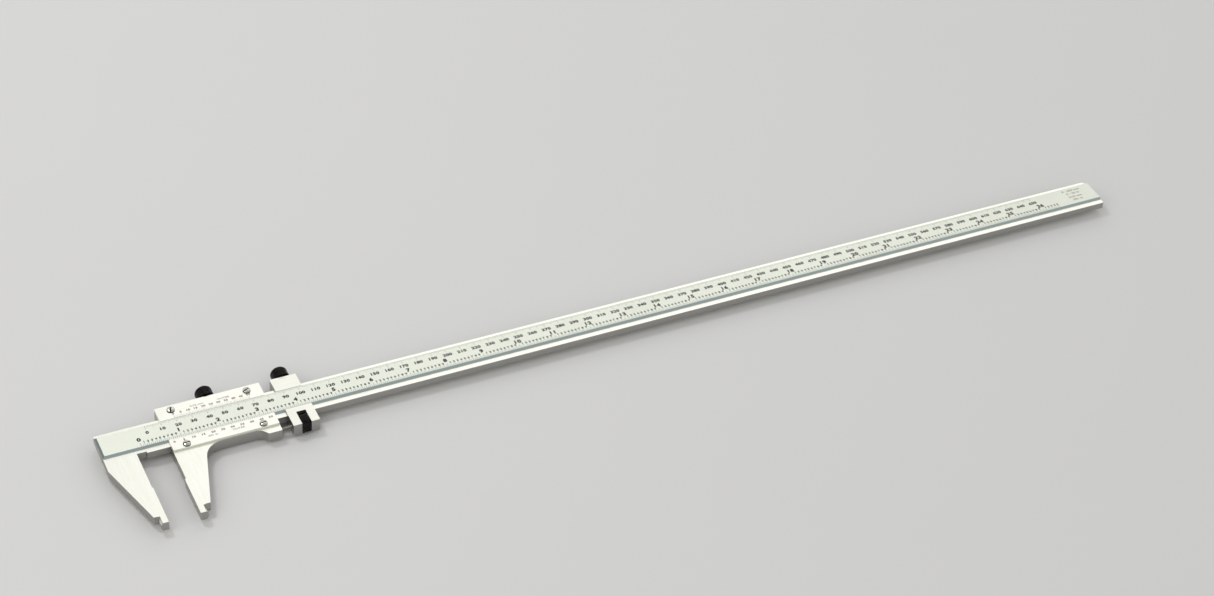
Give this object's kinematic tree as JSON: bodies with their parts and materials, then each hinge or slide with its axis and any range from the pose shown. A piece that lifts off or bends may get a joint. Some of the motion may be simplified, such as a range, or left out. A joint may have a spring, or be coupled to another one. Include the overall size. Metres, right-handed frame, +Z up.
{
  "type": "vernier caliper",
  "caption": "Long bench vernier caliper with outside jaws and rounded nibs, metric and inch verniers, lock knob and a clamped fine-adjustment carriage.",
  "frame": {"origin": "centre of the bounding box, on the surface that the caliper lies on", "axes": "+X along the bar toward its free end, the jaws reach toward -Y, +Z up out of the scale face"},
  "size_m": [0.7322, 0.1052, 0.0123],
  "materials": {
    "satin_chrome": "satin chrome-plated steel",
    "ground_steel": "fine satin ground steel",
    "bright_steel": "polished steel",
    "thread_steel": "plain turned steel",
    "gib_brass": "plain brass",
    "black_oxide": "black oxide, knurled"
  },
  "bodies": {
    "bar": {"beam": "satin_chrome"},
    "slide": {"slider": "ground_steel", "metric_vernier_plate": "ground_steel", "inch_vernier_plate": "ground_steel", "inside_metric_vernier_plate": "ground_steel", "inside_inch_vernier_plate": "ground_steel", "metric_plate_screw_left": "bright_steel", "metric_plate_screw_right": "bright_steel", "inch_plate_screw_left": "bright_steel", "inch_plate_screw_right": "bright_steel", "inside_metric_plate_screw_left": "bright_steel", "inside_metric_plate_screw_right": "bright_steel", "inside_inch_plate_screw_left": "bright_steel", "inside_inch_plate_screw_right": "bright_steel", "slider_gib_spring": "thread_steel", "adjusting_screw": "thread_steel", "adjusting_screw_set_screw": "thread_steel"},
    "slide_gib": {"slider_gib": "gib_brass"},
    "slide_lock": {"slider_lock_screw": "black_oxide"},
    "fine_carriage": {"carriage": "ground_steel", "carriage_gib_spring": "thread_steel"},
    "fine_carriage_gib": {"carriage_gib": "gib_brass"},
    "carriage_clamp": {"carriage_clamp_screw": "black_oxide"},
    "fine_nut": {"adjusting_nut": "black_oxide"}
  },
  "joints": [
    {"name": "slider_slide", "type": "slide", "parent": "bar", "child": "slide", "axis": [1, 0, 0], "range_m": [-0.01975, 0.5898]},
    {"name": "slider_lock_turn", "type": "hinge", "parent": "slide", "child": "slide_lock", "pos_m": [-0.2903, 0.0426, 0.00668], "axis": [0, -1, 0], "range_deg": [-91, 181]},
    {"name": "slider_gib_press", "type": "slide", "parent": "slide", "child": "slide_gib", "axis": [0, -1, 0], "range_m": [-0.000125, 0.00025]},
    {"name": "carriage_slide", "type": "slide", "parent": "slide", "child": "fine_carriage", "axis": [1, 0, 0], "range_m": [-0.006, 0.005]},
    {"name": "adjusting_nut_turn", "type": "hinge", "parent": "fine_carriage", "child": "fine_nut", "pos_m": [-0.24025, 0.0018, 0.0058], "axis": [1, 0, 0], "range_deg": [-3420, 2850]},
    {"name": "carriage_clamp_turn", "type": "hinge", "parent": "fine_carriage", "child": "carriage_clamp", "pos_m": [-0.24025, 0.0425, 0.00668], "axis": [0, -1, 0], "range_deg": [-91, 181]},
    {"name": "carriage_gib_press", "type": "slide", "parent": "fine_carriage", "child": "fine_carriage_gib", "axis": [0, -1, 0], "range_m": [-0.000125, 0.00025]}
  ],
  "couplings": [
    {"joint": "adjusting_nut_turn", "follows": "carriage_slide", "rad_per_m": 9894.8},
    {"joint": "slider_lock_turn", "follows": "slider_gib_press", "rad_per_m": 12566},
    {"joint": "carriage_clamp_turn", "follows": "carriage_gib_press", "rad_per_m": 12566}
  ]
}
